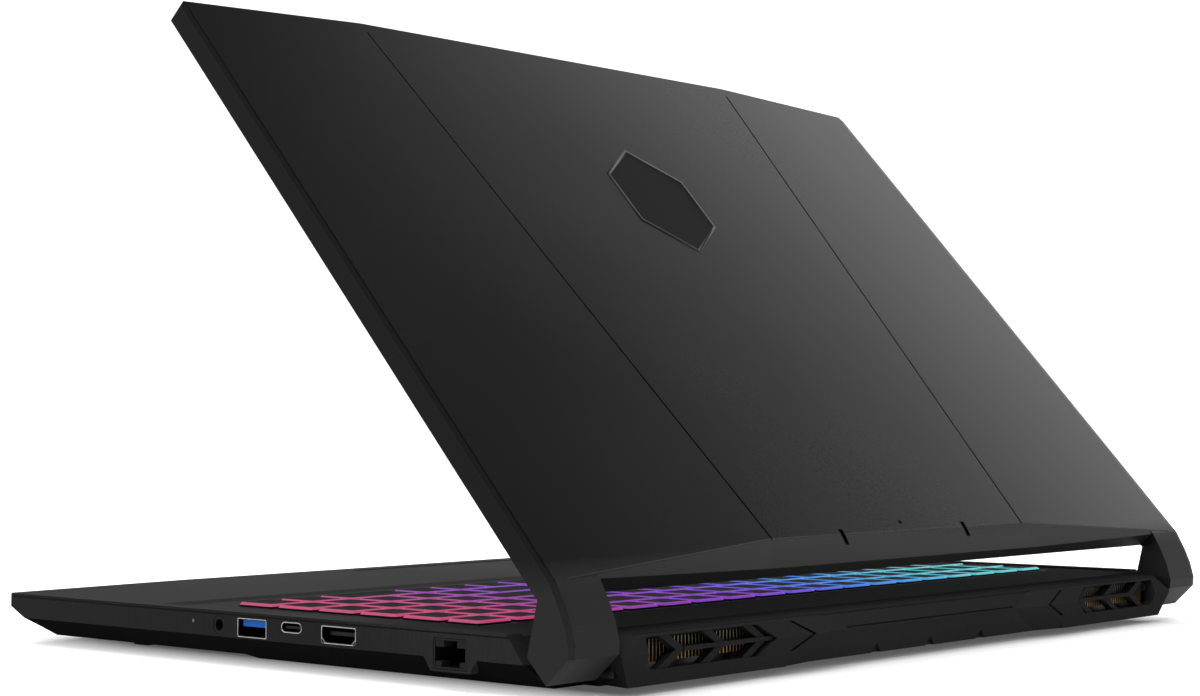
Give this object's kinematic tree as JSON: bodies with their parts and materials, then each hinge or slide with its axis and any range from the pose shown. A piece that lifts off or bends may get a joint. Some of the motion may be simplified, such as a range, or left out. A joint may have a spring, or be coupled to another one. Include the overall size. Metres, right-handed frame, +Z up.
{
  "type": "laptop computer",
  "caption": "Thick clamshell laptop computer with its lid leaning over a lit keyboard, angular rear exhaust block, side sockets and working hinge, keys, touchpad and fans.",
  "frame": {"origin": "middle of the footprint, on the desk under the rubber feet", "axes": "+X to the user's right along the width, +Y to the rear towards the hinge, +Z up from the desk"},
  "size_m": [0.3616, 0.259, 0.2103],
  "materials": {
    "lid_shell": "fine matt texture",
    "case_shell": "fine matt texture",
    "bottom_shell": "matt",
    "vent_shell": "matt",
    "keycap": "matt tops, lit sides",
    "light_guide": "lit",
    "touch_surface": "satin",
    "rubber": "matt",
    "steel": "zinc plated",
    "black_screw": "black oxide",
    "copper": "bare copper",
    "board": "solder mask",
    "module": "matt",
    "socket_shell": "nickel plated",
    "socket_plastic": "matt",
    "screen": "anti-glare",
    "badge": "satin",
    "lens": "gloss",
    "indicator": "translucent"
  },
  "bodies": {
    "base": {"top_case": "case_shell", "bottom_cover": "bottom_shell", "rear_vent_block": "vent_shell", "rear_foot": "rubber", "front_feet": "rubber", "cover_screws": "black_screw", "keyboard_frame": "case_shell", "keyboard_plate": "light_guide", "touchpad_tray": "steel", "main_board": "board", "processor_chips": "module", "cold_plates": "copper", "heat_pipes": "copper", "fin_stack_right": "copper", "fin_stack_left": "copper", "fan_housing_right": "module", "fan_housing_left": "module", "battery_pack": "module", "memory_modules": "board", "drive_card": "board", "wireless_card": "board", "speaker_right": "module", "speaker_left": "module", "usb_a_socket_right": "socket_shell", "usb_a_sockets_left": "socket_shell", "usb_c_socket": "socket_shell", "hdmi_socket": "socket_shell", "network_socket": "socket_plastic", "audio_socket": "socket_plastic", "power_inlet": "socket_plastic", "status_light": "indicator", "socket_board_right": "board", "socket_board_left": "board", "hinge_base_right": "steel", "hinge_base_left": "steel"},
    "lid": {"lid_cover": "lid_shell", "lid_badge": "badge", "screen_bezel": "lid_shell", "display_panel": "screen", "webcam_module": "lens", "lid_bumpers": "rubber", "display_cable": "module", "hinge_leaf_right": "steel", "hinge_leaf_left": "steel", "hinge_pin_right": "steel", "hinge_pin_left": "steel"},
    "touchpad": {"touchpad": "touch_surface"},
    "fan_right": {"fan_rotor_right": "module"},
    "fan_left": {"fan_rotor_left": "module"},
    "modifier_keys": {"modifier_keys": "keycap"},
    "space_bar": {"space_bar": "keycap"},
    "arrow_keys": {"arrow_keys": "keycap"},
    "number_pad_keys": {"number_pad_keys": "keycap"},
    "lower_letter_keys": {"lower_letter_keys": "keycap"},
    "home_letter_keys": {"home_letter_keys": "keycap"},
    "enter_key": {"enter_key": "keycap"},
    "upper_letter_keys": {"upper_letter_keys": "keycap"},
    "number_keys": {"number_keys": "keycap"},
    "function_keys": {"function_keys": "keycap"},
    "power_key": {"power_key": "keycap"}
  },
  "joints": [
    {"name": "lid_hinge", "type": "hinge", "parent": "base", "child": "lid", "pos_m": [0, 0.1236, 0.013], "axis": [-1, 0, 0], "range_deg": [-48.1, 86.9]},
    {"name": "touchpad_click", "type": "slide", "parent": "base", "child": "touchpad", "axis": [0, 0, -1], "range_m": [0, 0.0004], "stiffness_N_per_m": 1200, "springref_m": -0.0008},
    {"name": "fan_right_spin", "type": "hinge", "parent": "base", "child": "fan_right", "pos_m": [0.115, 0.0745, 0.008], "axis": [0, 0, 1], "continuous": true},
    {"name": "fan_left_spin", "type": "hinge", "parent": "base", "child": "fan_left", "pos_m": [-0.115, 0.0745, 0.008], "axis": [0, 0, 1], "continuous": true},
    {"name": "modifier_keys_press", "type": "slide", "parent": "base", "child": "modifier_keys", "axis": [0, 0, -1], "range_m": [0, 0.0014], "stiffness_N_per_m": 390, "springref_m": -0.002},
    {"name": "space_bar_press", "type": "slide", "parent": "base", "child": "space_bar", "axis": [0, 0, -1], "range_m": [0, 0.0014], "stiffness_N_per_m": 230, "springref_m": -0.002},
    {"name": "arrow_keys_press", "type": "slide", "parent": "base", "child": "arrow_keys", "axis": [0, 0, -1], "range_m": [0, 0.0014], "stiffness_N_per_m": 310, "springref_m": -0.002},
    {"name": "number_pad_keys_press", "type": "slide", "parent": "base", "child": "number_pad_keys", "axis": [0, 0, -1], "range_m": [0, 0.0014], "stiffness_N_per_m": 910, "springref_m": -0.002},
    {"name": "lower_letter_keys_press", "type": "slide", "parent": "base", "child": "lower_letter_keys", "axis": [0, 0, -1], "range_m": [0, 0.0014], "stiffness_N_per_m": 630, "springref_m": -0.002},
    {"name": "home_letter_keys_press", "type": "slide", "parent": "base", "child": "home_letter_keys", "axis": [0, 0, -1], "range_m": [0, 0.0014], "stiffness_N_per_m": 630, "springref_m": -0.002},
    {"name": "enter_key_press", "type": "slide", "parent": "base", "child": "enter_key", "axis": [0, 0, -1], "range_m": [0, 0.0014], "stiffness_N_per_m": 230, "springref_m": -0.002},
    {"name": "upper_letter_keys_press", "type": "slide", "parent": "base", "child": "upper_letter_keys", "axis": [0, 0, -1], "range_m": [0, 0.0014], "stiffness_N_per_m": 710, "springref_m": -0.002},
    {"name": "number_keys_press", "type": "slide", "parent": "base", "child": "number_keys", "axis": [0, 0, -1], "range_m": [0, 0.0014], "stiffness_N_per_m": 710, "springref_m": -0.002},
    {"name": "function_keys_press", "type": "slide", "parent": "base", "child": "function_keys", "axis": [0, 0, -1], "range_m": [0, 0.0014], "stiffness_N_per_m": 870, "springref_m": -0.002},
    {"name": "power_key_press", "type": "slide", "parent": "base", "child": "power_key", "axis": [0, 0, -1], "range_m": [0, 0.0014], "stiffness_N_per_m": 190, "springref_m": -0.002}
  ]
}
